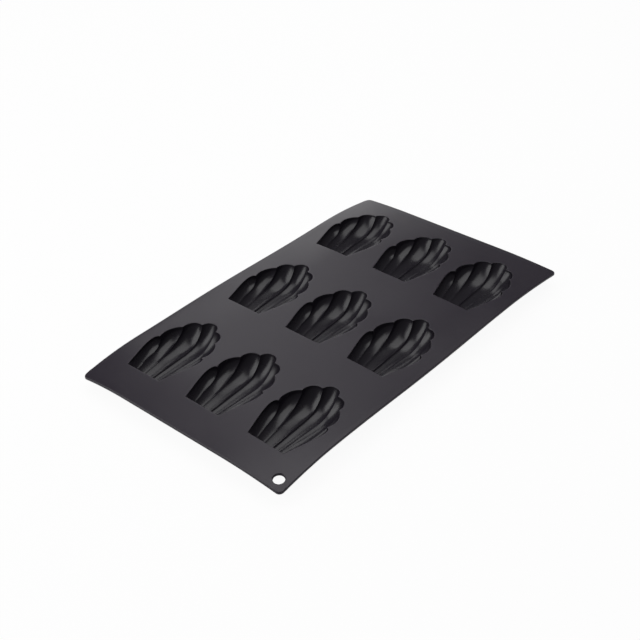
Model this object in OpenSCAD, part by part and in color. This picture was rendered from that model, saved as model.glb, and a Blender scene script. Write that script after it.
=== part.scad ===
// Madeleine mould: a thin silicone sheet with nine fluted, shell-shaped cups, three across
// and three along, and a hole in one corner to hang it by.
// Lengths are in millimetres. +Z is up, and +Y runs along the sheet towards the wide,
// scalloped ends of the cups. The origin is under the middle of the sheet, on the surface
// that the cups stand on.

/* [Sheet] */
// Length of the sheet, along Y
sheet_l = 300; // [292:1:330]
// Width of the sheet, along X
sheet_w = 175; // [170:1:200]
// Thickness of the sheet
sheet_t = 2; // [0.8:0.1:2.4]
// Radius of the sheet's four corners
corner_r = 3.5; // [2:0.5:10]

/* [Sag of the free margins] */
// Flat deck left around the cups before the margins start to hang
flat_rim = 0.8; // [0.4:0.1:2]
// How far the front edge hangs below the deck
front_sag = 3.2; // [0:0.1:4]
// How far the back edge hangs below the deck
back_sag = 5; // [0:0.1:6]
// How far the two long edges hang below the deck
side_sag = 1.8; // [0:0.1:2.5]
// How much lower the front corners hang than their two edges together
corner_sag = 1.7; // [0:0.1:3]

/* [Hanging hole] */
// Diameter of the hole
hole_d = 7.5; // [4:0.5:10]
// Distance from the hole's centre to each of the two edges beside it
hole_inset = 8; // [6.5:0.1:9]

/* [Grid of cups] */
// Distance between neighbouring cups, across the sheet
pitch_x = 54.3; // [50:0.1:56]
// Distance between neighbouring cups, along the sheet
pitch_y = 95; // [75:0.5:96]
// Distance from the sheet's front edge to the narrow ends of the front row
front_margin = 23.8; // [19:0.1:28]

/* [Cup] */
// Length of a cup's mouth, from its narrow end to the tip of the middle lobe
cup_l = 66.4; // [58:0.2:70]
// Greatest width of a cup's mouth
cup_w = 44.4; // [40:0.2:47]
// Width of the straight narrow end
narrow_w = 29.4; // [26:0.2:32]
// Depth of the cavity under the middle flute
cup_depth = 14.8; // [11:0.2:18]
// Thickness of the cup's wall
wall = 1.2; // [0.8:0.1:1.5]
// How far the mouth's lip is rounded down, across the thickness of the wall
lip_drop = 0.5; // [0.2:0.1:0.7]

/* [Crown ridges, on both sides of the middle flute] */
// Start on the narrow end, as a share of its half width
crown_foot = 0.16; // [0.12:0.01:0.22]
// Notch in the rim, as a share of the cup's half width
crown_notch_x = 0.28; // [0.24:0.01:0.34]
// Notch in the rim, as a share of the cup's length
crown_notch_y = 0.912; // [0.88:0.01:0.93]
// Depth under the deck, as a share of the cavity's depth
crown_depth = 0.86; // [0.8:0.01:0.92]

/* [Shoulder ridges, the next pair] */
// Start on the narrow end, as a share of its half width
shoulder_foot = 0.5; // [0.42:0.01:0.58]
// Notch in the rim, as a share of the cup's half width
shoulder_notch_x = 0.68; // [0.62:0.01:0.72]
// Notch in the rim, as a share of the cup's length
shoulder_notch_y = 0.77; // [0.72:0.01:0.8]
// Depth under the deck, as a share of the cavity's depth
shoulder_depth = 0.645; // [0.56:0.01:0.72]
// How far the ridge hooks outwards to its notch, as a share of the half width
shoulder_hook = 0.125; // [0:0.005:0.15]

/* [Side ridges, the outer pair] */
// Start on the narrow end, as a share of its half width
side_foot = 0.75; // [0.68:0.01:0.8]
// Notch in the rim, as a share of the cup's half width
side_notch_x = 0.89; // [0.86:0.01:0.91]
// Notch in the rim, as a share of the cup's length
side_notch_y = 0.512; // [0.48:0.01:0.54]
// Depth under the deck, as a share of the cavity's depth
side_depth = 0.405; // [0.34:0.01:0.44]

/* [Flutes] */
// Hollow of a flute along the floor, as a share of its width
floor_bulge = 0.24; // [0.16:0.01:0.28]
// Hollow of the two side flutes, under the straight flanks
flank_bulge = 0.12; // [0.06:0.01:0.16]
// Bulge of the two lobes beside the middle one at the rim, as a share of their width
shoulder_lobe = 0.285; // [0.22:0.01:0.32]
// Bulge of the two lobes above the side notches at the rim
side_lobe = 0.185; // [0.14:0.01:0.24]
// Length over which the narrow end's wall curves down to the floor
narrow_run = 12; // [8:0.5:16]
// Length over which the floor curves up to the middle of the scalloped end
wide_run = 20; // [15:0.5:24]
// Length over which the side ridges rise to their notches
side_run = 13; // [10:0.5:16]

/* [Hidden] */

silicone = "#4b484c";
cup_silicone = "#39363a";

// Height of the deck, which is the top of the flat part of the sheet
deck_z = cup_depth + wall;

// Facets across each of the seven flutes: the middle one has an odd count, so that the
// cup stands on a flat facet
flute_steps = [4, 4, 4, 5, 4, 4, 4];
// Facets from the narrow end to the scalloped end
long_steps = 10;

// Powers of the curves: wall of the narrow end, rise to the scalloped end, hook of the
// shoulder ridges, growth of a flute's hollow into the bulge of its lobe, and its turn
// from the flute's own normal into the deck
narrow_power = 3;
wide_power = 2.2;
hook_power = 12;
lobe_power = 4;
level_power = 10;

// Handles of the curve that a straight flank and the side lobe above it follow, as shares
// of the cup's half width and of the side notch's distance
flank_handle = [0.81, 0.38];
lobe_handle = [1.194, 0.97];

// The wall is this much thicker in the outside grooves, under the ridges
groove_wall = 1.2;

// Step along a ridge over which its direction is measured
tangent_step = 0.01;

// How evenly the rows of facets are spread: 1 is even, 0 crowds them towards both ends
row_evenness = 0.5;

// Facets of the sheet's rounded corners and of the hanging hole, for a full turn
corner_facets = 32;
hole_facets = 48;

// Ridge values from the middle outwards, for one side of the cup
half_w = cup_w / 2;
half_narrow = narrow_w / 2;
foot_x = half_narrow * [crown_foot, shoulder_foot, side_foot];
notch_x = half_w * [crown_notch_x, shoulder_notch_x, side_notch_x];
notch_y = cup_l * [crown_notch_y, shoulder_notch_y, side_notch_y];
hook_x = half_w * [0, shoulder_hook, 0];
ridge_depth = cup_depth * [crown_depth, shoulder_depth, side_depth];
ridge_run = [wide_run * crown_notch_y, wide_run * crown_notch_y, side_run];

last_flute = len(flute_steps);
middle_flute = 3;
// Column of the grid on each ridge, from the left flank to the right one
ridge_col = [for (k = 0, c = 0; k <= last_flute; c = c + (k < last_flute ? flute_steps[k] : 0),
             k = k + 1) c];
last_col = ridge_col[last_flute];
first_notch = ridge_col[1];
last_notch = ridge_col[last_flute - 1];

tiny = 0.0001;

function unit(v) = v / max(norm(v), tiny);
function flat(p) = [p.x, p.y];

// A cubic curve through its first and last points, drawn by the two handles between
function cubic(p, t) =
    pow(1 - t, 3) * p[0] + 3 * t * pow(1 - t, 2) * p[1]
    + 3 * t * t * (1 - t) * p[2] + pow(t, 3) * p[3];

// Share of the full depth at a distance from an end whose wall has a run and a power
function rise(distance, run, power) = 1 - pow(1 - min(1, distance / run), power);

// Ridge lines on the right half of the cup: 0 is the crown ridge, 1 the shoulder ridge,
// 2 the side ridge and 3 the flank's rim. t runs from the narrow end to the notch.
function flank_line(t) =
    let (end = [notch_x[2], notch_y[2]])
    let (p = cubic([[half_narrow, 0],
                    [half_w * flank_handle.x, end.y * flank_handle.y],
                    [half_w * lobe_handle.x, end.y * lobe_handle.y],
                    end], t))
    [p.x, p.y, 0];

function ridge_line(j, t) =
    let (y = notch_y[j] * t)
    let (x = foot_x[j] + (notch_x[j] - hook_x[j] - foot_x[j]) * t
             + hook_x[j] * pow(t, hook_power))
    let (up = rise(notch_y[j] - y, ridge_run[j], wide_power))
    [x, y, -ridge_depth[j] * rise(y, narrow_run, narrow_power) * up];

function half_line(j, t) = j == 3 ? flank_line(t) : ridge_line(j, t);

// Line k of the eight, counted from the left flank to the right flank
function guide(k, t) =
    let (p = half_line(k < 4 ? 3 - k : k - 4, t))
    [k < 4 ? -p.x : p.x, p.y, p.z];

// Outward normal of flute k, between lines k and k + 1
function flute_normal(k, t) =
    let (a = max(0, t - tangent_step))
    let (b = min(1, t + tangent_step))
    let (along = guide(k, b) + guide(k + 1, b) - guide(k, a) - guide(k + 1, a))
    let (u = min(t, 1 - tangent_step))
    unit(cross(along, guide(k + 1, u) - guide(k, u)));

// Hollow of flute k as a share of its width: even along the floor, then turning into the
// bulge of its lobe
function hollow(k, t) =
    let (lobe = [flank_bulge, side_lobe, shoulder_lobe][k < middle_flute ? k : last_flute - 1 - k])
    let (low = k == 0 || k == last_flute - 1 ? flank_bulge : floor_bulge)
    low + (lobe - low) * pow(t, lobe_power);

// Bottom of flute k. The middle flute runs level at the cavity's full depth. The others
// lie half way between their two ridges, and out by their hollow.
function middle_line(t) =
    let (y = cup_l * t)
    let (up = rise(cup_l - y, wide_run, wide_power))
    [0, y, -cup_depth * rise(y, narrow_run, narrow_power) * up];
function beside_line(k, t) =
    let (a = guide(k, t))
    let (b = guide(k + 1, t))
    let (n = flute_normal(k, t))
    let (out = unit([n.x, n.y, n.z * (1 - pow(t, level_power))]))
    let (start = rise(notch_y[0] * t, narrow_run, narrow_power))
    (a + b) / 2 + out * norm(b - a) * hollow(k, t) * start;
function flute_line(k, t) = k == middle_flute ? middle_line(t) : beside_line(k, t);

// The same lines on the outside of the wall
function outer_guide(k, t) =
    k == 0 || k == last_flute
    ? guide(k, t)
    : guide(k, t) + wall * groove_wall * unit(flute_normal(k - 1, t) + flute_normal(k, t));
function outer_flute_line(k, t) = flute_line(k, t) + wall * flute_normal(k, t);

// Point f of the way along an arc from a to b that passes over m. Where the arc has an odd
// number of facets, the middle facet lies at m.
function arc_point(a, b, m, f, steps) =
    let (mid = (a + b) / 2)
    let (phi = max(1, 2 * atan(2 * norm(m - mid) / max(norm(b - a), tiny))))
    let (theta = phi * (2 * f - 1))
    let (top = steps % 2 == 0 ? 1 : cos(phi / steps))
    mid + (b - a) / 2 * sin(theta) / sin(phi)
        + (m - mid) * (cos(theta) - cos(phi)) / (top - cos(phi));

// Rows lie closer together near both ends
function row_t(i) =
    let (s = i / long_steps)
    row_evenness * s + (1 - row_evenness) * (1 - cos(180 * s)) / 2;

// Columns and rows of one side of the wall, from the left flank to the right one
function inner_row(t) = [
    for (k = [0 : last_flute - 1])
        for (s = [0 : flute_steps[k] - (k == last_flute - 1 ? 0 : 1)])
            arc_point(guide(k, t), guide(k + 1, t), flute_line(k, t),
                      s / flute_steps[k], flute_steps[k])
];
function outer_row(t) = [
    for (k = [0 : last_flute - 1])
        for (s = [0 : flute_steps[k] - (k == last_flute - 1 ? 0 : 1)])
            arc_point(outer_guide(k, t), outer_guide(k + 1, t), outer_flute_line(k, t),
                      s / flute_steps[k], flute_steps[k])
];
inner_grid = [for (i = [0 : long_steps]) inner_row(row_t(i))];
outer_grid = [for (i = [0 : long_steps]) outer_row(row_t(i))];

// The cells of the grid around the mouth, anticlockwise from the left end of the straight
// narrow end. The side flutes run out to a point at their notches.
mouth = concat(
    [for (c = [0 : last_col]) [0, c]],
    [for (i = [1 : long_steps - 1]) [i, last_col]],
    [for (c = [last_notch : -1 : first_notch]) [long_steps, c]],
    [for (i = [long_steps - 1 : -1 : 1]) [i, 0]]
);
mouth_count = len(mouth);
mouth_line = [for (cell = mouth) flat(inner_grid[cell[0]][cell[1]])];

// The mouth's outline, moved out by the thickness of the wall. The cup is moulded into an
// opening of this outline in the sheet.
function edge_normal(p, q) = unit([q.y - p.y, p.x - q.x]);
outline = [
    for (i = [0 : mouth_count - 1])
        let (before = mouth_line[(i + mouth_count - 1) % mouth_count])
        let (here = mouth_line[i])
        let (after = mouth_line[(i + 1) % mouth_count])
        let (n1 = edge_normal(before, here))
        let (n2 = edge_normal(here, after))
        here + wall * (n1 + n2) / (1 + n1 * n2)
];

// Place of a grid cell on the mouth's line, or -1 inside the mouth
function mouth_place(i, c) =
    let (column = i == long_steps ? min(last_notch, max(first_notch, c)) : c)
    i == 0 ? column
    : i == long_steps ? last_col + long_steps + last_notch - column
    : c == last_col ? last_col + i
    : c == 0 ? mouth_count - i
    : -1;

inner_count = (long_steps + 1) * (last_col + 1);
top_start = inner_count;
outer_start = inner_count + mouth_count;

function inner_index(i, c) =
    i * (last_col + 1) + (i == long_steps ? min(last_notch, max(first_notch, c)) : c);
function outer_index(i, c) = outer_start + inner_index(i, c);

// The lip falls by lip_drop at the mouth, and the outside starts under the sheet
inner_points = [
    for (row = inner_grid)
        for (p = row)
            [p.x, p.y, min(p.z, -lip_drop)]
];
top_points = [for (p = outline) [p.x, p.y, 0]];
outer_points = [
    for (i = [0 : long_steps])
        for (c = [0 : last_col])
            let (p = outer_grid[i][c])
            let (place = mouth_place(i, c))
            place < 0
            ? [p.x, p.y, min(p.z, -sheet_t)]
            : [outline[place].x, outline[place].y, -sheet_t]
];

// Two triangles for a cell, without the one that a collapsed cell has no area for
function cell_faces(a, b, c, d) = [
    for (f = [[a, b, c], [a, c, d]])
        if (f[0] != f[1] && f[1] != f[2] && f[2] != f[0])
            f
];
inner_faces = [
    for (i = [0 : long_steps - 1])
        for (c = [0 : last_col - 1])
            each cell_faces(inner_index(i, c), inner_index(i + 1, c),
                            inner_index(i + 1, c + 1), inner_index(i, c + 1))
];
outer_faces = [
    for (i = [0 : long_steps - 1])
        for (c = [0 : last_col - 1])
            each cell_faces(outer_index(i, c), outer_index(i, c + 1),
                            outer_index(i + 1, c + 1), outer_index(i + 1, c))
];
lip_faces = [
    for (p = [0 : mouth_count - 1])
        let (q = (p + 1) % mouth_count)
        each cell_faces(inner_index(mouth[p][0], mouth[p][1]),
                        inner_index(mouth[q][0], mouth[q][1]),
                        top_start + q, top_start + p)
];
seam_faces = [
    for (p = [0 : mouth_count - 1])
        let (q = (p + 1) % mouth_count)
        each cell_faces(top_start + p, top_start + q,
                        outer_index(mouth[q][0], mouth[q][1]),
                        outer_index(mouth[p][0], mouth[p][1]))
];

// Places of the cups: the middle of the narrow end, at the deck
first_row_y = -sheet_l / 2 + front_margin;
function cup_place(column, row) = [(column - 1) * pitch_x, first_row_y + row * pitch_y, deck_z];

module cup(column, row) {
    color(cup_silicone)
        translate(cup_place(column, row))
            polyhedron(
                points = concat(inner_points, top_points, outer_points),
                faces = concat(inner_faces, lip_faces, seam_faces, outer_faces)
            );
}

// Sag of the margins: a parabola from the flat deck to each edge
flat_x = pitch_x + half_w + wall + flat_rim;
flat_front = first_row_y - wall - flat_rim;
flat_back = first_row_y + 2 * pitch_y + cup_l + wall + flat_rim;
function side_share(x) = pow(max(0, abs(x) - flat_x) / (sheet_w / 2 - flat_x), 2);
function front_share(y) = pow(max(0, flat_front - y) / (flat_front + sheet_l / 2), 2);
function back_share(y) = pow(max(0, y - flat_back) / (sheet_l / 2 - flat_back), 2);
function sag(x, y) =
    side_sag * side_share(x) + front_sag * front_share(y) + back_sag * back_share(y)
    + corner_sag * side_share(x) * front_share(y);

// The slab reaches past the sheet's outline and is trimmed to it. Each sagging margin is
// drawn by a few flat steps.
trim = 1;
margin_steps = 4;
function margin_lines(from, to) =
    [for (s = [0 : margin_steps]) from + (to - from) * s / margin_steps];
slab_x = concat(margin_lines(-sheet_w / 2 - trim, -flat_x),
                margin_lines(flat_x, sheet_w / 2 + trim));
slab_y = concat(margin_lines(-sheet_l / 2 - trim, flat_front),
                margin_lines(flat_back, sheet_l / 2 + trim));
slab_cols = len(slab_x);
slab_rows = len(slab_y);
slab_level = slab_cols * slab_rows;
function slab_index(level, i, j) = level * slab_level + j * slab_cols + i;
slab_points = [
    for (level = [0, 1])
        for (y = slab_y)
            for (x = slab_x)
                [x, y, deck_z - sag(x, y) - (level == 0 ? sheet_t : 0)]
];
slab_faces = [
    for (j = [0 : slab_rows - 2])
        for (i = [0 : slab_cols - 2])
            let (low = [for (d = [[0, 0], [1, 0], [1, 1], [0, 1]])
                        slab_index(0, i + d.x, j + d.y)])
            each [
                [low[0], low[1], low[2]],
                [low[0], low[2], low[3]],
                [low[0] + slab_level, low[2] + slab_level, low[1] + slab_level],
                [low[0] + slab_level, low[3] + slab_level, low[2] + slab_level]
            ]
];
slab_rim = concat(
    [for (i = [0 : slab_cols - 2]) [i, 0]],
    [for (j = [0 : slab_rows - 2]) [slab_cols - 1, j]],
    [for (i = [slab_cols - 1 : -1 : 1]) [i, slab_rows - 1]],
    [for (j = [slab_rows - 1 : -1 : 1]) [0, j]]
);
slab_rim_faces = [
    for (s = [0 : len(slab_rim) - 1])
        let (a = slab_rim[s])
        let (b = slab_rim[(s + 1) % len(slab_rim)])
        each cell_faces(slab_index(0, a.x, a.y), slab_index(1, a.x, a.y),
                        slab_index(1, b.x, b.y), slab_index(0, b.x, b.y))
];

module slab() {
    polyhedron(points = slab_points, faces = concat(slab_faces, slab_rim_faces));
}

module rounded_outline() {
    translate([0, 0, -deck_z])
        linear_extrude(3 * deck_z)
            union() {
                square([sheet_w - 2 * corner_r, sheet_l], center = true);
                square([sheet_w, sheet_l - 2 * corner_r], center = true);
                for (sx = [-1, 1], sy = [-1, 1])
                    translate([sx * (sheet_w / 2 - corner_r), sy * (sheet_l / 2 - corner_r)])
                        circle(r = corner_r, $fn = corner_facets);
            }
}

module cup_openings() {
    for (column = [0 : 2], row = [0 : 2])
        translate(cup_place(column, row) - [0, 0, deck_z])
            linear_extrude(2 * deck_z)
                polygon(outline);
}

// The hole is square to the sheet, which slopes in its corner
hole_at = [sheet_w / 2 - hole_inset, -sheet_l / 2 + hole_inset];
slope_step = hole_d / 4;
hole_slope = [
    sag(hole_at.x + slope_step, hole_at.y) - sag(hole_at.x - slope_step, hole_at.y),
    sag(hole_at.x, hole_at.y + slope_step) - sag(hole_at.x, hole_at.y - slope_step)
] / (2 * slope_step);
hole_z = deck_z - sag(hole_at.x, hole_at.y) - sheet_t / 2;
drill_l = 8 * sheet_t;

module hanging_hole() {
    translate([hole_at.x, hole_at.y, hole_z])
        rotate([-atan(hole_slope.y), 0, 0])
            rotate([0, atan(hole_slope.x), 0])
                cylinder(h = drill_l, d = hole_d, center = true, $fn = hole_facets);
}

module sheet() {
    color(silicone)
        difference() {
            intersection() {
                slab();
                rounded_outline();
            }
            cup_openings();
            hanging_hole();
        }
}

sheet();
cup(0, 0);  // front_left_cup
cup(1, 0);  // front_centre_cup
cup(2, 0);  // front_right_cup
cup(0, 1);  // middle_left_cup
cup(1, 1);  // middle_centre_cup
cup(2, 1);  // middle_right_cup
cup(0, 2);  // back_left_cup
cup(1, 2);  // back_centre_cup
cup(2, 2);  // back_right_cup
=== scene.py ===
# Madeleine mould: one black silicone moulding, a thin sheet with nine fluted cups.
# The mould's sizes are millimetres in the dictionaries and the shape functions, and become
# metres when a mesh is finished. The camera's place, the table and the lamps are in metres.

import math

import bmesh
import bpy
from mathutils import Matrix, Vector


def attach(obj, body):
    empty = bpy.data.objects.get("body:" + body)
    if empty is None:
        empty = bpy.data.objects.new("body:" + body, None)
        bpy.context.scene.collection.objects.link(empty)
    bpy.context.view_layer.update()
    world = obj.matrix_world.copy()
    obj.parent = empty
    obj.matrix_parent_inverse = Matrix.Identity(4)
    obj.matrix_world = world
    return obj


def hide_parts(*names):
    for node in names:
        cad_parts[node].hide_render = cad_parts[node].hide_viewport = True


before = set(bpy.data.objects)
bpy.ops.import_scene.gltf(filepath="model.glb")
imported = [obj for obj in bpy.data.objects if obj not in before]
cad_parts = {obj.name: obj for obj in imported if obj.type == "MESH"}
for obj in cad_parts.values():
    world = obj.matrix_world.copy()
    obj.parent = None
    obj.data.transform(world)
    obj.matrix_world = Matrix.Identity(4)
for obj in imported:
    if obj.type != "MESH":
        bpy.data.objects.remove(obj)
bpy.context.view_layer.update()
print("frame loaded with", len(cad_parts), "nodes")

scene = bpy.context.scene
millimetre = 0.001
deckHeight = 16    # top of the flat deck over the surface that the mould stands on
sharpAngle = 50    # degrees between two faces from which their edge stays a hard one
closeBy = 0.05     # two places nearer than this count as the same one
tiny = 0.001       # a length that counts as none


# The sheet is soft, so its margins hang and ripple: the drop at each edge, how much more it
# is towards one end, how far in it starts, the height of a side's ripple and where along
# the side it starts, and what each corner drops besides
hang = {
    "left": 1.65, "leftToBack": 1.05, "leftReach": 40,
    "leftRipple": 0.53, "leftRippleStart": 19.5,
    "right": 1.9, "rightReach": 50,
    "rightRipple": 0.62, "rightRippleStart": -42.5,
    "rippleLength": 170,
    "back": 5.1, "backToLeft": 1.5, "backReach": 60,
    "front": 3.25, "frontReach": 50,
    "backLeftCorner": -0.75, "backRightCorner": -0.5,
    "frontLeftCorner": 2.6, "frontRightCorner": 0.7,
}

sheetShape = {
    "width": 175, "length": 300, "thickness": 2,
    "cornerRadius": 3.5, "cornerSteps": 10,
    "edgeRadius": 0.6, "edgeSteps": 4,
    "holeRadius": 3.75, "holeX": 79.5, "holeY": -142, "holeSteps": 48,
    "cutSpacing": 6,  # distance between the cuts that let the sheet bend
    "rimAngle": 75,   # degrees over which the rim's upper and lower edges turn
}


def marginShare(distance, reach):
    # From 1 at the edge to 0 at its reach, for a distance counted outwards from the edge
    return max(0, 1 + distance / reach) ** 2


def ripple(y, start):
    return math.sin(2 * math.pi * (y - start) / hang["rippleLength"])


def sheetTop(x, y):
    halfWidth = sheetShape["width"] / 2
    halfLength = sheetShape["length"] / 2
    left = marginShare(-x - halfWidth, hang["leftReach"])
    right = marginShare(x - halfWidth, hang["rightReach"])
    back = marginShare(y - halfLength, hang["backReach"])
    front = marginShare(-y - halfLength, hang["frontReach"])
    leftRipple = hang["leftRipple"] * ripple(y, hang["leftRippleStart"])
    rightRipple = hang["rightRipple"] * ripple(y, hang["rightRippleStart"])
    drop = (hang["left"] + hang["leftToBack"] * y / halfLength + leftRipple) * left
    drop += (hang["right"] + rightRipple) * right
    drop += (hang["back"] - hang["backToLeft"] * x / halfWidth) * back
    drop += hang["front"] * front
    drop += (hang["backLeftCorner"] * left + hang["backRightCorner"] * right) * back
    drop += (hang["frontLeftCorner"] * left + hang["frontRightCorner"] * right) * front
    return deckHeight - drop


# One cup, with its narrow end's middle at the origin, its mouth in the plane z = 0 and
# its scalloped end along +Y. The ridges are listed from the middle outwards. A wall's run
# is how far in from the rim it reaches the floor, and its power and fullness bend it.
cupShape = {
    "length": 66.4, "width": 44.4, "narrowWidth": 29.4, "depth": 14.8, "wall": 1.2,
    "ridgeFoot": [0.194, 0.517, 0.755],   # start, of half the narrow width
    "notchX": [0.28, 0.68, 0.89],         # notch in the rim, of half the width
    "notchY": [0.912, 0.77, 0.512],       # notch in the rim, of the length
    "ridgeDepth": [0.873, 0.76, 0.525],   # of the depth
    "ridgeHook": [0.04, -0.024, 0], "hookPower": 17,  # last turn to the notch, of half the width
    "ridgeRun": [18, 27, 11.2], "ridgePower": [2.2, 1.85, 2.5], "ridgeFullness": [0.85, 0.55, 0.3],
    "wideRun": 25.5, "widePower": 2.6, "wideFullness": 0.95,
    "narrowRun": 7, "narrowPower": 2.7,
    # Hollow of a side flute, a side lobe and a shoulder lobe, of its width: near the
    # narrow end, in the middle and at the rim
    "hollow": [(0.07, 0.37, 0.12), (0.12, 0.09, 0.185), (0.14, 0.05, 0.285)],
    "levelPower": 4,                      # how late a flute's hollow turns level at the rim
    "fluteFullness": 0.5,                 # 1 is a plain arc, less is flat with steep sides
    "arcPower": 3,                        # how late a flute becomes a plain arc at the rim
    "flankHandle": (0.81, 0.38), "lobeHandle": (1.194, 0.97),  # of the flank's curved rim
    "ridgeRadius": 0.35,                  # half the width of a rounded ridge
    "leastTurn": 1,                       # degrees of arc that even a flat flute has
    "ridgeReach": 0.45,                   # most of a flute's width that its rounding takes
    "thinFlute": 0.01,                    # a narrower flute isn't rounded
    "grooveWall": 1.2,                    # thicker wall under a ridge, of the wall
    "lipDrop": 0.3, "lipRound": 0.3, "lipSteps": 6,  # height and width of the rounded lip
    "lipEasing": 3.5,                     # length of rim over which the lip's direction is eased
    "lipFlat": 0.02,                      # faces this near the mouth's level have the deck's finish
    "fluteSteps": 12, "rows": 56,
    "columnEasing": 0.65, "rowEasing": 0.6,  # how much closer the grid's lines lie at its ends
}
fluteCount = 7
middleFlute = fluteCount // 2
linesPerHalf = (fluteCount + 1) // 2
flankLine = linesPerHalf - 1
columns = fluteCount * cupShape["fluteSteps"]
firstNotch = cupShape["fluteSteps"]
lastNotch = columns - firstNotch


def rise(distance, run, power, fullness=1):
    # Share of the full depth at a distance from the end of a curved wall, which is
    # steeper at its top where its fullness is lower
    return (1 - (1 - min(1, max(0, distance / run))) ** power) ** fullness


def eased(share, easing):
    # Steps through a share from 0 to 1, closer together near both ends
    return (1 - easing) * share + easing * (1 - math.cos(math.pi * share)) / 2


def bezier(points, t):
    a, b, c, d = (Vector(p) for p in points)
    return (1 - t) ** 3 * a + 3 * t * (1 - t) ** 2 * b + 3 * t * t * (1 - t) * c + t ** 3 * d


def halfLine(ridge, t):
    # A ridge of the right half, or the flank's rim as the last of its lines
    half = cupShape["width"] / 2
    if ridge == flankLine:
        end = (half * cupShape["notchX"][2], cupShape["length"] * cupShape["notchY"][2])
        flank = (half * cupShape["flankHandle"][0], end[1] * cupShape["flankHandle"][1])
        lobe = (half * cupShape["lobeHandle"][0], end[1] * cupShape["lobeHandle"][1])
        point = bezier([(cupShape["narrowWidth"] / 2, 0), flank, lobe, end], t)
        return Vector((point.x, point.y, 0))
    foot = cupShape["narrowWidth"] / 2 * cupShape["ridgeFoot"][ridge]
    notchY = cupShape["length"] * cupShape["notchY"][ridge]
    hook = half * cupShape["ridgeHook"][ridge]
    reach = half * cupShape["notchX"][ridge] - hook - foot
    x = foot + reach * t + hook * t ** cupShape["hookPower"]
    up = rise(notchY * (1 - t), cupShape["ridgeRun"][ridge], cupShape["ridgePower"][ridge],
              cupShape["ridgeFullness"][ridge])
    down = rise(notchY * t, cupShape["narrowRun"], cupShape["narrowPower"])
    return Vector((x, notchY * t, -cupShape["depth"] * cupShape["ridgeDepth"][ridge] * up * down))


def guideLine(k, t):
    # The eight lines that bound the flutes, from the left flank to the right one
    if k < linesPerHalf:
        point = halfLine(flankLine - k, t)
        return Vector((-point.x, point.y, point.z))
    return halfLine(k - linesPerHalf, t)


def fluteNormal(k, t):
    # Downwards and outwards, square to the flute's length and width
    step = 0.01
    low, high = max(0, t - step), min(1, t + step)
    along = guideLine(k, high) + guideLine(k + 1, high) - guideLine(k, low) - guideLine(k + 1, low)
    near = min(t, 1 - step)
    return along.cross(guideLine(k + 1, near) - guideLine(k, near)).normalized()


def fluteBottom(k, t):
    # The deepest line of a flute
    if k == middleFlute:
        y = cupShape["length"] * t
        up = rise(cupShape["length"] - y, cupShape["wideRun"], cupShape["widePower"],
                  cupShape["wideFullness"])
        down = rise(y, cupShape["narrowRun"], cupShape["narrowPower"])
        return Vector((0, y, -cupShape["depth"] * up * down))
    left, right = guideLine(k, t), guideLine(k + 1, t)
    narrow, middle, lobe = cupShape["hollow"][min(k, fluteCount - 1 - k)]
    hollow = narrow * (1 - t) ** 2 + 2 * middle * t * (1 - t) + lobe * t ** 2
    outward = fluteNormal(k, t)
    outward.z *= 1 - t ** cupShape["levelPower"]
    start = rise(cupShape["length"] * cupShape["notchY"][0] * t,
                 cupShape["narrowRun"], cupShape["narrowPower"])
    return (left + right) / 2 + outward.normalized() * (right - left).length * hollow * start


def arcPoint(left, right, bottom, f, fullness):
    # A point across a flute, from its left ridge at f = 0 to its right one at f = 1
    middle = (left + right) / 2
    chord = (right - left).length
    if chord < tiny:
        return middle
    leastTurn = math.radians(cupShape["leastTurn"])
    turn = max(leastTurn, 2 * math.atan(2 * (bottom - middle).length / chord))
    angle = turn * (2 * f - 1)
    sideways = (right - left) / 2 * math.sin(angle) / math.sin(turn)
    hollow = (math.cos(angle) - math.cos(turn)) / (1 - math.cos(turn))
    return middle + sideways + (bottom - middle) * max(0, hollow) ** fullness


def innerLines(t):
    # The guide lines and the bottoms of the flutes at t, on the inside of the wall
    guides = [guideLine(k, t) for k in range(fluteCount + 1)]
    bottoms = [fluteBottom(k, t) for k in range(fluteCount)]
    return guides, bottoms


def outerLines(t):
    # The same lines on the outside of the wall
    guides, bottoms = innerLines(t)
    normals = [fluteNormal(k, t) for k in range(fluteCount)]
    for k in range(1, fluteCount):
        out = (normals[k - 1] + normals[k]).normalized()
        guides[k] = guides[k] + out * cupShape["wall"] * cupShape["grooveWall"]
    bottoms = [b + n * cupShape["wall"] for b, n in zip(bottoms, normals)]
    return guides, bottoms


def wallRow(t, lines, ridgeRadius):
    # Points across the cup at t, with each ridge between two flutes rounded over
    guides, bottoms = lines(t)
    steps = cupShape["fluteSteps"]
    thin = cupShape["thinFlute"]
    widths = [(right - left).length for left, right in zip(guides, guides[1:])]
    flat = cupShape["fluteFullness"]
    fullness = flat + (1 - flat) * t ** cupShape["arcPower"]

    def onArc(k, f):
        return arcPoint(guides[k], guides[k + 1], bottoms[k], f, fullness)

    row = []
    for column in range(columns + 1):
        k = min(column // steps, fluteCount - 1)
        f = eased((column - k * steps) / steps, cupShape["columnEasing"])
        point = onArc(k, f)
        ridge = k if f < 0.5 else k + 1
        if ridgeRadius and 0 < ridge < fluteCount:
            spans = widths[ridge - 1:ridge + 1]
            reach = [min(cupShape["ridgeReach"], ridgeRadius / max(span, thin)) for span in spans]
            offset = f if ridge == k else f - 1
            side = 1 if offset >= 0 else 0
            if abs(offset) < reach[side] and (offset == 0 or spans[side] > thin):
                over = 0.5 + 0.5 * offset / reach[side]
                before = onArc(ridge - 1, 1 - reach[0])
                after = onArc(ridge, reach[1])
                point = (1 - over) ** 2 * before + over ** 2 * after
                point += 2 * over * (1 - over) * guides[ridge]
        row.append(point)
    return row


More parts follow.
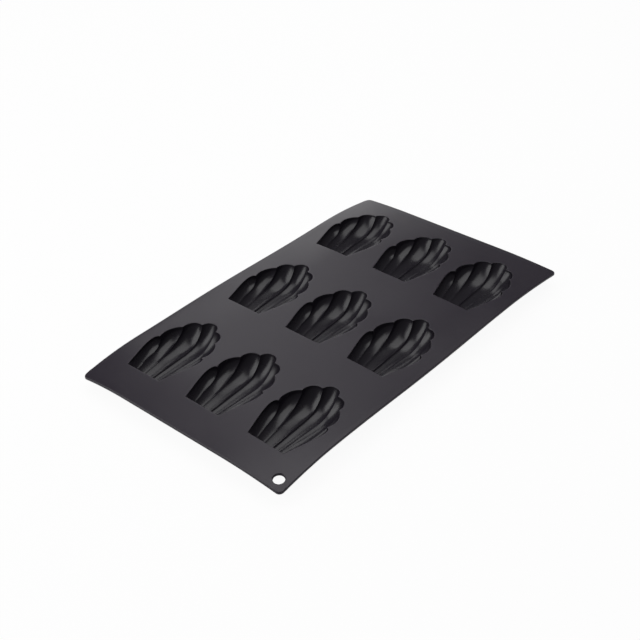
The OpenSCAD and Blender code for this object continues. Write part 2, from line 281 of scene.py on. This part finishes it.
def addWallGrid(bm, lines, ridgeRadius):
    # A grid, one cell of it per column and row, bent into one side of the cup's wall
    rows = cupShape["rows"]
    verts = bmesh.ops.create_grid(bm, x_segments=columns, y_segments=rows, size=1)["verts"]
    grid = {}
    for vert in verts:
        column = round((vert.co.x + 1) / 2 * columns)
        row = round((vert.co.y + 1) / 2 * rows)
        grid[row, column] = vert
    for row in range(rows + 1):
        points = wallRow(eased(row / rows, cupShape["rowEasing"]), lines, ridgeRadius)
        for column, point in enumerate(points):
            grid[row, column].co = point
    return grid


def closeSideFlutes(bm, grid):
    # The two side flutes end in a point at their notches
    rows = cupShape["rows"]
    targets = {}
    for column in range(1, firstNotch):
        targets[grid[rows, column]] = grid[rows, 0]
        targets[grid[rows, columns - column]] = grid[rows, columns]
    bmesh.ops.weld_verts(bm, targetmap=targets)


def mouthCells():
    # The grid's rim, anticlockwise from the left end of the narrow side
    rows = cupShape["rows"]
    cells = [(0, c) for c in range(columns + 1)]
    cells += [(r, columns) for r in range(1, rows + 1)]
    cells += [(rows, c) for c in range(lastNotch, firstNotch - 1, -1)]
    cells += [(r, 0) for r in range(rows, 0, -1)]
    return cells


def outwardDirections(points):
    # Outward direction in the deck's plane at each point of the mouth, eased around the
    # notches so that the lip doesn't cross itself there
    count = len(points)
    normals = []
    for i in range(count):
        a, b = points[i], points[(i + 1) % count]
        normals.append(Vector((b.y - a.y, a.x - b.x)).normalized())
    places = [0]
    for i in range(count):
        places.append(places[-1] + (points[(i + 1) % count] - points[i]).length)
    total = places[-1]
    reach = cupShape["lipEasing"]
    directions = []
    for i in range(count):
        blend = Vector((0, 0))
        for j in range(count):
            middle = (places[j] + places[j + 1]) / 2
            gap = abs(middle - places[i])
            gap = min(gap, total - gap)
            if gap < reach:
                blend += normals[j] * (places[j + 1] - places[j]) * (1 - gap / reach)
        directions.append(blend.normalized())
    return directions


def extrudeLoop(bm, loop):
    # Extrudes a closed loop of verts and returns the new loop in the same order
    edges = [bm.edges.get((a, b)) for a, b in zip(loop, loop[1:] + loop[:1])]
    made = bmesh.ops.extrude_edge_only(bm, edges=edges)["geom"]
    new = {item for item in made if isinstance(item, bmesh.types.BMVert)}
    return [next(e.other_vert(v) for e in v.link_edges if e.other_vert(v) in new) for v in loop]


def buildCup():
    # Returns the cup's bmesh and the outline of its lip, which the sheet's opening follows
    bm = bmesh.new()
    inner = addWallGrid(bm, innerLines, cupShape["ridgeRadius"])
    drop, depth = cupShape["lipDrop"], cupShape["depth"]
    for vert in inner.values():
        vert.co.z = vert.co.z * (depth - drop) / depth - drop
    outer = addWallGrid(bm, outerLines, 0)
    cells = mouthCells()
    closeSideFlutes(bm, inner)
    closeSideFlutes(bm, outer)

    loop = [inner[cell] for cell in cells]
    mouth = [vert.co.copy() for vert in loop]
    directions = outwardDirections(mouth)
    steps = cupShape["lipSteps"]
    for step in range(1, steps + 1):
        # A quarter turn from the wall up to the deck, then a narrow flat strip
        turn = math.pi / 2 * min(1, step / (steps - 1))
        out = cupShape["lipRound"] * (1 - math.cos(turn)) if step < steps else cupShape["wall"]
        loop = extrudeLoop(bm, loop)
        for vert, point, direction in zip(loop, mouth, directions):
            vert.co = Vector((point.x + direction.x * out, point.y + direction.y * out,
                              -drop * (1 - math.sin(turn))))
    outline = [vert.co.copy() for vert in loop]
    for face in bm.faces:
        # The flat strip round the mouth has the second material, the deck's
        if min(vert.co.z for vert in face.verts) > -cupShape["lipFlat"]:
            face.material_index = 1

    # Underside: the outer grid's rim lies under the lip's outline
    thickness = sheetShape["thickness"]
    for vert in outer.values():
        if vert.is_valid:
            vert.co.z = min(vert.co.z, -thickness)
    for cell, point in zip(cells, outline):
        outer[cell].co = point - Vector((0, 0, thickness))
    loop = extrudeLoop(bm, loop)
    targets = {}
    for vert, cell in zip(loop, cells):
        vert.co = outer[cell].co
        targets[vert] = outer[cell]
    bmesh.ops.weld_verts(bm, targetmap=targets)
    bmesh.ops.recalc_face_normals(bm, faces=bm.faces[:])
    return bm, outline


cupGrid = {"pitchX": 54.3, "pitchY": 95, "frontY": -126.2}
rowNames = ["front", "middle", "back"]
columnNames = ["Left", "Centre", "Right"]


def cupPlace(column, row):
    return Vector(((column - 1) * cupGrid["pitchX"], cupGrid["frontY"] + row * cupGrid["pitchY"], 0))


def finishMesh(bm, name, materials):
    # Metres, smooth shading with the hard edges kept, and the materials
    bmesh.ops.scale(bm, vec=(millimetre, millimetre, millimetre), verts=bm.verts[:])
    for face in bm.faces:
        face.smooth = True
    for edge in bm.edges:
        edge.smooth = edge.calc_face_angle(0) < math.radians(sharpAngle)
    mesh = bpy.data.meshes.new(name)
    bm.to_mesh(mesh)
    for material in materials:
        mesh.materials.append(material)
    piece = bpy.data.objects.new(name, mesh)
    scene.collection.objects.link(piece)
    return piece


def linearColour(hexCode):
    # sRGB hex, such as 28232c, to linear red, green, blue and alpha
    parts = [int(hexCode[i:i + 2], 16) / 255 for i in (0, 2, 4)]
    return [p / 12.92 if p <= 0.04045 else ((p + 0.055) / 1.055) ** 2.4 for p in parts] + [1]


def addNode(tree, kind, settings=None, links=None):
    # settings go to the node's properties or its input sockets, links to its inputs
    node = tree.nodes.new(kind)
    for key, value in (settings or {}).items():
        if key in node.inputs:
            node.inputs[key].default_value = value
        else:
            setattr(node, key, value)
    for key, source in (links or {}).items():
        tree.links.new(source, node.inputs[key])
    return node


# Silicone rubber, black, pressed in a steel mould. The mould's blasted face leaves the
# deck satin, with soft reflections, and its polished plugs leave the cups glossier.
deckFinish = {
    "dark": "28232c", "pale": "2c2730", "patch": 45, "grain": 0.55,
    "roughLow": 0.32, "roughHigh": 0.38, "bump": 0.05,
}
cupFinish = {
    "dark": "1b181f", "pale": "1f1c23", "patch": 22, "grain": 0.8,
    "roughLow": 0.23, "roughHigh": 0.29, "bump": 0.02,
}
# Both finishes share the rubber's index and the character of their patches and grain.
# The patches' and the grain's width and the grain's height are millimetres.
siliconeSurface = {
    "ior": 1.43,
    "patchDetail": 3, "patchSoftness": 0.55, "patchLow": 0.35, "patchHigh": 0.65,
    "grainDetail": 2, "grainSoftness": 0.5, "grainHeight": 0.2,
}


def siliconeMaterial(name, finish):
    material = bpy.data.materials.new(name)
    material.use_nodes = True
    tree = material.node_tree
    tree.nodes.clear()
    place = addNode(tree, "ShaderNodeTexCoord").outputs["Object"]
    # Handling leaves faint patches of dust and release oil, some centimetres across
    patches = addNode(tree, "ShaderNodeTexNoise",
                      {"Scale": 1 / (finish["patch"] * millimetre),
                       "Detail": siliconeSurface["patchDetail"],
                       "Roughness": siliconeSurface["patchSoftness"]},
                      {"Vector": place})
    # The moulded grain is finer than the picture can show, so it is drawn coarser
    grain = addNode(tree, "ShaderNodeTexNoise",
                    {"Scale": 1 / (finish["grain"] * millimetre),
                     "Detail": siliconeSurface["grainDetail"],
                     "Roughness": siliconeSurface["grainSoftness"]},
                    {"Vector": place})
    # Sockets 6 and 7 of a colour mix are its two colours, and output 2 is the mixed one
    colour = addNode(tree, "ShaderNodeMix",
                     {"data_type": "RGBA"}, {"Factor": patches.outputs["Fac"]})
    colour.inputs[6].default_value = linearColour(finish["dark"])
    colour.inputs[7].default_value = linearColour(finish["pale"])
    rough = addNode(tree, "ShaderNodeMapRange",
                    {"From Min": siliconeSurface["patchLow"],
                     "From Max": siliconeSurface["patchHigh"],
                     "To Min": finish["roughLow"], "To Max": finish["roughHigh"]},
                    {"Value": patches.outputs["Fac"]})
    bump = addNode(tree, "ShaderNodeBump",
                   {"Strength": finish["bump"],
                    "Distance": siliconeSurface["grainHeight"] * millimetre},
                   {"Height": grain.outputs["Fac"]})
    shader = addNode(tree, "ShaderNodeBsdfPrincipled", {"IOR": siliconeSurface["ior"]},
                     {"Base Color": colour.outputs[2], "Roughness": rough.outputs["Result"],
                      "Normal": bump.outputs["Normal"]})
    addNode(tree, "ShaderNodeOutputMaterial", {}, {"Surface": shader.outputs["BSDF"]})
    return material


satinSilicone = siliconeMaterial("satinBlackSilicone", deckFinish)
polishedSilicone = siliconeMaterial("polishedBlackSilicone", cupFinish)


cupMesh, cupOutline = buildCup()
print("cup modelled with", len(cupMesh.faces), "faces")
for row in range(len(rowNames)):
    for column in range(len(columnNames)):
        cup = cupMesh.copy()
        bmesh.ops.translate(cup, vec=cupPlace(column, row), verts=cup.verts[:])
        for vert in cup.verts:
            # The rim follows the sheet, and the foot stays on the table
            top = sheetTop(vert.co.x, vert.co.y)
            vert.co.z = top + vert.co.z * top / deckHeight
        name = rowNames[row] + columnNames[column] + "Cup"
        piece = finishMesh(cup, name, [polishedSilicone, satinSilicone])
        cup.free()
        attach(piece, "root")
        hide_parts(f"{rowNames[row]}_{columnNames[column].lower()}_cup")
cupMesh.free()


def addLoop(bm, points):
    # A closed line of edges through the points, flat in the deck's plane
    verts = [bm.verts.new((p[0], p[1], 0)) for p in points]
    return [bm.edges.new((a, b)) for a, b in zip(verts, verts[1:] + verts[:1])]


def roundedCorners():
    # The sheet's outline, anticlockwise from its right side
    radius, steps = sheetShape["cornerRadius"], sheetShape["cornerSteps"]
    points = []
    for quarter, (sx, sy) in enumerate([(1, 1), (-1, 1), (-1, -1), (1, -1)]):
        centreX = sx * (sheetShape["width"] / 2 - radius)
        centreY = sy * (sheetShape["length"] / 2 - radius)
        for step in range(steps + 1):
            angle = math.pi / 2 * (quarter + step / steps)
            points.append((centreX + radius * math.cos(angle), centreY + radius * math.sin(angle)))
    return points


def buildSheet(outline):
    bm = bmesh.new()
    edges = addLoop(bm, roundedCorners())
    for row in range(len(rowNames)):
        for column in range(len(columnNames)):
            place = cupPlace(column, row)
            edges += addLoop(bm, [place + point for point in outline])
    hole = bmesh.ops.create_circle(bm, segments=sheetShape["holeSteps"],
                                   radius=sheetShape["holeRadius"])["verts"]
    bmesh.ops.translate(bm, vec=(sheetShape["holeX"], sheetShape["holeY"], 0), verts=hole)
    edges += list({edge for vert in hole for edge in vert.link_edges})
    bmesh.ops.triangle_fill(bm, use_beauty=True, use_dissolve=False, edges=edges)

    # Cuts across and along it let the sheet bend
    across, along = Vector((1, 0, 0)), Vector((0, 1, 0))
    for normal, length in ((across, sheetShape["width"]), (along, sheetShape["length"])):
        count = int(length / sheetShape["cutSpacing"])
        for cut in range(1, count):
            place = normal * (length * (cut / count - 0.5))
            bmesh.ops.bisect_plane(bm, geom=bm.verts[:] + bm.edges[:] + bm.faces[:],
                                   plane_co=place, plane_no=normal, dist=tiny)

    thickness = sheetShape["thickness"]
    for face in bm.faces:
        if face.normal.z < 0:
            face.normal_flip()
    under = bmesh.ops.extrude_face_region(bm, geom=bm.faces[:])["geom"]
    lower = [item for item in under if isinstance(item, bmesh.types.BMVert)]
    bmesh.ops.translate(bm, vec=(0, 0, -thickness), verts=lower)
    bmesh.ops.recalc_face_normals(bm, faces=bm.faces[:])

    # The free edges, around the outside and the hole, are slightly rounded
    def isFree(vert):
        x, y = vert.co.x, vert.co.y
        overEdge = max(abs(x) - sheetShape["width"] / 2, abs(y) - sheetShape["length"] / 2)
        cornerX = abs(x) - sheetShape["width"] / 2 + sheetShape["cornerRadius"]
        cornerY = abs(y) - sheetShape["length"] / 2 + sheetShape["cornerRadius"]
        inCorner = cornerX > 0 and cornerY > 0
        overCorner = math.hypot(cornerX, cornerY) - sheetShape["cornerRadius"]
        fromHole = math.hypot(x - sheetShape["holeX"], y - sheetShape["holeY"])
        return (overEdge > -closeBy or (inCorner and overCorner > -closeBy)
                or fromHole < sheetShape["holeRadius"] + closeBy)

    rim = [edge for edge in bm.edges
           if edge.calc_face_angle(0) > math.radians(sheetShape["rimAngle"])
           and abs(edge.verts[0].co.z - edge.verts[1].co.z) < closeBy
           and isFree(edge.verts[0]) and isFree(edge.verts[1])]
    bmesh.ops.bevel(bm, geom=rim, offset=sheetShape["edgeRadius"], offset_type="OFFSET",
                    affect="EDGES", segments=sheetShape["edgeSteps"], profile=0.5, material=-1)
    for vert in bm.verts:
        vert.co.z += sheetTop(vert.co.x, vert.co.y)
    return bm


sheetMesh = buildSheet(cupOutline)
print("sheet modelled with", len(sheetMesh.faces), "faces")
mouldSheet = finishMesh(sheetMesh, "mouldSheet", [satinSilicone])
sheetMesh.free()
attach(mouldSheet, "root")
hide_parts("sheet")


# Camera, from the photograph's perspective: its place in metres, the direction it looks
# in, its roll in degrees, and its lens and sensor in millimetres
cameraView = {
    "place": (0.4502, -0.5229, 0.5064), "towards": (-0.53736, 0.60948, -0.58290),
    "roll": 1.266, "lens": 69.03, "sensor": 36, "clipStart": 0.01,
}
cameraData = bpy.data.cameras.new("photographCamera")
cameraData.lens = cameraView["lens"]
cameraData.sensor_width = cameraView["sensor"]
cameraData.clip_start = cameraView["clipStart"]
camera = bpy.data.objects.new("photographCamera", cameraData)
scene.collection.objects.link(camera)
aim = Vector(cameraView["towards"]).to_track_quat("-Z", "Y").to_matrix().to_4x4()
turn = Matrix.Rotation(math.radians(-cameraView["roll"]), 4, "Z")
camera.matrix_world = Matrix.Translation(cameraView["place"]) @ aim @ turn
scene.camera = camera


# A white studio table, 6 m wide. The camera sees it mostly by a glow of its own, and the
# rest is its paper, which keeps a faint shadow.
floorSettings = {"size": 6, "white": "fafafa", "own": 0.94}
pureWhite = (1, 1, 1, 1)
floorMesh = bmesh.new()
bmesh.ops.create_grid(floorMesh, x_segments=1, y_segments=1, size=floorSettings["size"] / 2)
floorData = bpy.data.meshes.new("studioTable")
floorMesh.to_mesh(floorData)
floorMesh.free()
studioTable = bpy.data.objects.new("studioTable", floorData)
scene.collection.objects.link(studioTable)

floorMaterial = bpy.data.materials.new("whitePaperSweep")
floorMaterial.use_nodes = True
floorTree = floorMaterial.node_tree
floorTree.nodes.clear()
paper = addNode(floorTree, "ShaderNodeBsdfDiffuse", {"Color": linearColour(floorSettings["white"])})
glow = addNode(floorTree, "ShaderNodeEmission", {"Color": pureWhite, "Strength": 1})
path = addNode(floorTree, "ShaderNodeLightPath")
own = addNode(floorTree, "ShaderNodeMath", {"operation": "MULTIPLY"},
              {0: path.outputs["Is Camera Ray"]})
own.inputs[1].default_value = floorSettings["own"]
mix = addNode(floorTree, "ShaderNodeMixShader", {}, {0: own.outputs[0], 1: paper.outputs[0],
                                                     2: glow.outputs[0]})
addNode(floorTree, "ShaderNodeOutputMaterial", {}, {"Surface": mix.outputs[0]})
floorData.materials.append(floorMaterial)

# The room is white to the camera and lights the mould only a little
studioRoom = {"seen": 1, "light": 0.11}
world = bpy.data.worlds.new("studio")
scene.world = world
world.use_nodes = True
worldTree = world.node_tree
worldTree.nodes.clear()
worldPath = addNode(worldTree, "ShaderNodeLightPath")
seen = addNode(worldTree, "ShaderNodeBackground",
               {"Color": pureWhite, "Strength": studioRoom["seen"]})
light = addNode(worldTree, "ShaderNodeBackground",
                {"Color": pureWhite, "Strength": studioRoom["light"]})
worldMix = addNode(worldTree, "ShaderNodeMixShader", {}, {0: worldPath.outputs["Is Camera Ray"],
                                                          1: light.outputs[0], 2: seen.outputs[0]})
addNode(worldTree, "ShaderNodeOutputWorld", {}, {"Surface": worldMix.outputs[0]})

# Softboxes: bearing from +X and height over the table in degrees, distance and size in
# metres, turn about its own middle in degrees. A face of brightness 1 looks just white.
softboxes = {
    "leftSoftbox": {"bearing": -132, "height": 40, "distance": 1.3, "size": (0.85, 1.0),
                    "turn": 0, "brightness": 2.7},
    "overheadSoftbox": {"bearing": 90, "height": 78, "distance": 1.3, "size": (1.44, 1.16),
                        "turn": 0, "brightness": 1.95},
    "backStripLight": {"bearing": 136.5, "height": 22, "distance": 1.3, "size": (0.41, 0.95),
                       "turn": -30, "brightness": 1.45},
}


def addSoftbox(name, box):
    bearing, height = math.radians(box["bearing"]), math.radians(box["height"])
    towards = Vector((math.cos(bearing) * math.cos(height),
                      math.sin(bearing) * math.cos(height), math.sin(height)))
    level = Vector((-math.sin(bearing), math.cos(bearing), 0))
    upright = Matrix((level, towards.cross(level), towards)).transposed().to_4x4()
    lamp = bpy.data.lights.new(name, "AREA")
    lamp.shape = "RECTANGLE"
    lamp.size, lamp.size_y = box["size"]
    lamp.energy = box["brightness"] * math.pi * lamp.size * lamp.size_y
    softbox = bpy.data.objects.new(name, lamp)
    softbox.matrix_world = (Matrix.Translation(towards * box["distance"]) @ upright
                            @ Matrix.Rotation(math.radians(box["turn"]), 4, "Z"))
    scene.collection.objects.link(softbox)


for name, box in softboxes.items():
    addSoftbox(name, box)

scene.view_settings.view_transform = "Standard"
print("camera, table and softboxes placed")
